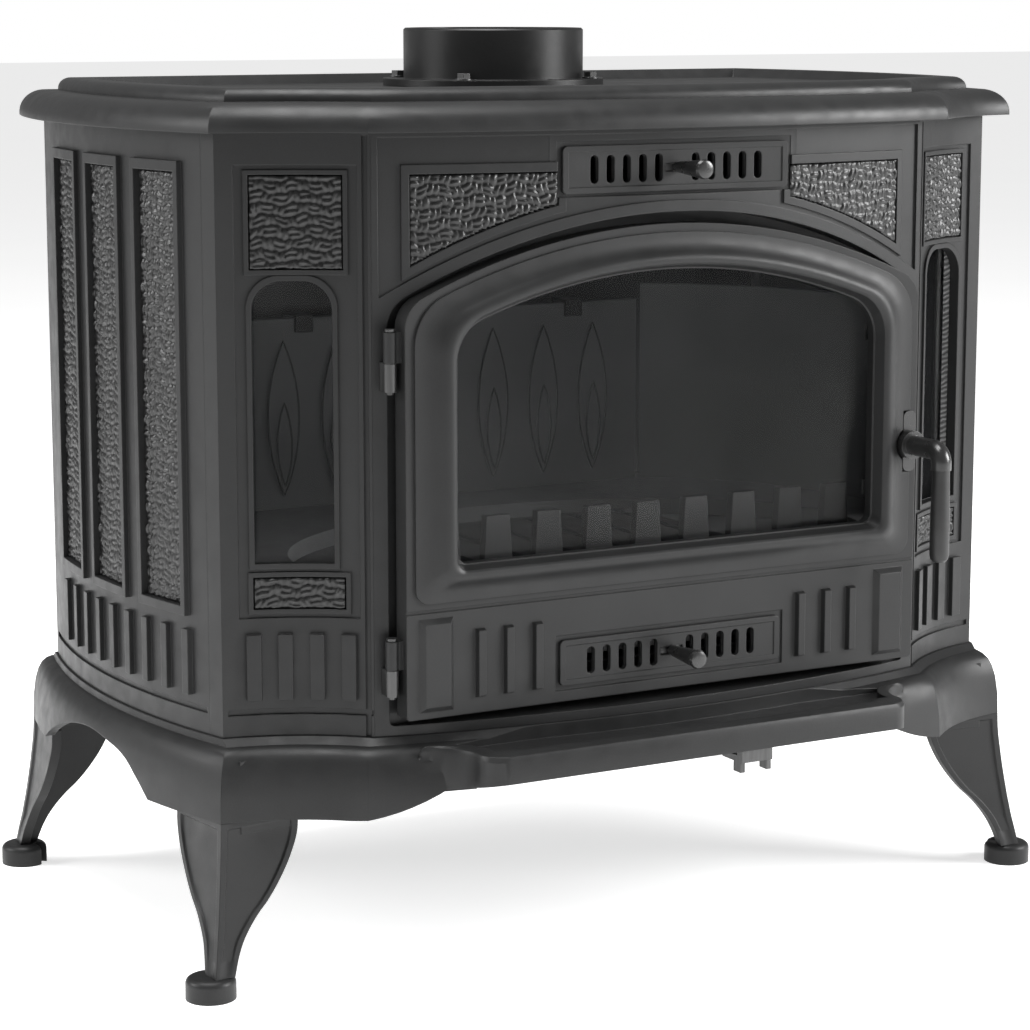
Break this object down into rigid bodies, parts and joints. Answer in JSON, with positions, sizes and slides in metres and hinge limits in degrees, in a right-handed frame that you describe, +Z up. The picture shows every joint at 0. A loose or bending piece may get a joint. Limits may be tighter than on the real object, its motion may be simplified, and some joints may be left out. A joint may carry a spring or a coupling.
{
  "type": "wood burning stove",
  "caption": "Freestanding cast-iron wood burning stove with a bowed front, arched glazed door, glazed corners, ash lip, moulded top with a round flue collar, and splayed cabriole legs.",
  "frame": {"origin": "on the floor, under the centre of the bounding box", "axes": "+Z up; the front with its door faces -Y; +X is to the right of someone who faces the front"},
  "size_m": [0.781, 0.53, 0.7093],
  "materials": {
    "steel": "plain",
    "casting": "matte, fine sand-cast grain",
    "glass": "clear, very slightly smoky",
    "rope": "woven fibre rope",
    "collar_iron": "smooth dark paint",
    "dark_steel": "blackened",
    "hearth_iron": "bare grey casting",
    "black_enamel": "satin black",
    "grip_black": "matte black heat-resistant grip"
  },
  "bodies": {
    "stove": {"ash_pan": "steel", "ash_pan_rails": "steel", "back_panel": "casting", "baffle": "steel", "base": "casting", "corner_panel_left": "casting", "corner_panel_right": "casting", "corner_window_clips": "steel", "corner_window_left": "glass", "corner_window_right": "glass", "corner_window_seals": "rope", "flue_collar": "collar_iron", "flue_collar_bolts": "dark_steel", "front_frame": "casting", "grate": "hearth_iron", "hearth_floor": "hearth_iron", "hearth_posts": "steel", "hearth_surround": "hearth_iron", "hinge_brackets": "dark_steel", "hinge_pins": "dark_steel", "latch_keeper": "dark_steel", "leg_bolts": "dark_steel", "leg_front_left": "casting", "leg_front_right": "casting", "leg_rear_left": "casting", "leg_rear_right": "casting", "lining_back": "hearth_iron", "lining_hooks": "steel", "lining_left": "hearth_iron", "lining_right": "hearth_iron", "lip_lug": "dark_steel", "log_retainer": "hearth_iron", "shoe_front_left": "casting", "shoe_front_right": "casting", "shoe_rear_left": "casting", "shoe_rear_right": "casting", "side_panel_left": "casting", "side_panel_right": "casting", "tie_rod_nuts": "steel", "tie_rods": "steel", "top_plate": "casting", "upper_vent_plate": "casting"},
    "door": {"door_frame": "casting", "door_glass": "glass", "glass_seal": "rope", "glass_clips": "steel", "door_seal": "rope", "lower_vent_plate": "casting", "handle_plate": "black_enamel"},
    "handle": {"handle_arm": "black_enamel", "handle_spindle": "black_enamel", "handle_grip": "grip_black", "latch_cam": "dark_steel"},
    "upper_air_slider": {"upper_air_slide": "dark_steel", "upper_air_knob": "black_enamel"},
    "lower_air_slider": {"lower_air_slide": "dark_steel", "lower_air_knob": "black_enamel"}
  },
  "joints": [
    {"name": "front_door", "type": "hinge", "parent": "stove", "child": "door", "pos_m": [-0.2375, -0.197, 0.36], "axis": [0, 0, -1], "range_deg": [0, 110]},
    {"name": "door_handle", "type": "hinge", "parent": "door", "child": "handle", "pos_m": [0.221, -0.207, 0.38], "axis": [0, -1, 0], "range_deg": [0, 80]},
    {"name": "upper_air", "type": "slide", "parent": "stove", "child": "upper_air_slider", "axis": [1, 0, 0], "range_m": [-0.007, 0.007]},
    {"name": "lower_air", "type": "slide", "parent": "door", "child": "lower_air_slider", "axis": [1, 0, 0], "range_m": [-0.007, 0.007]}
  ]
}
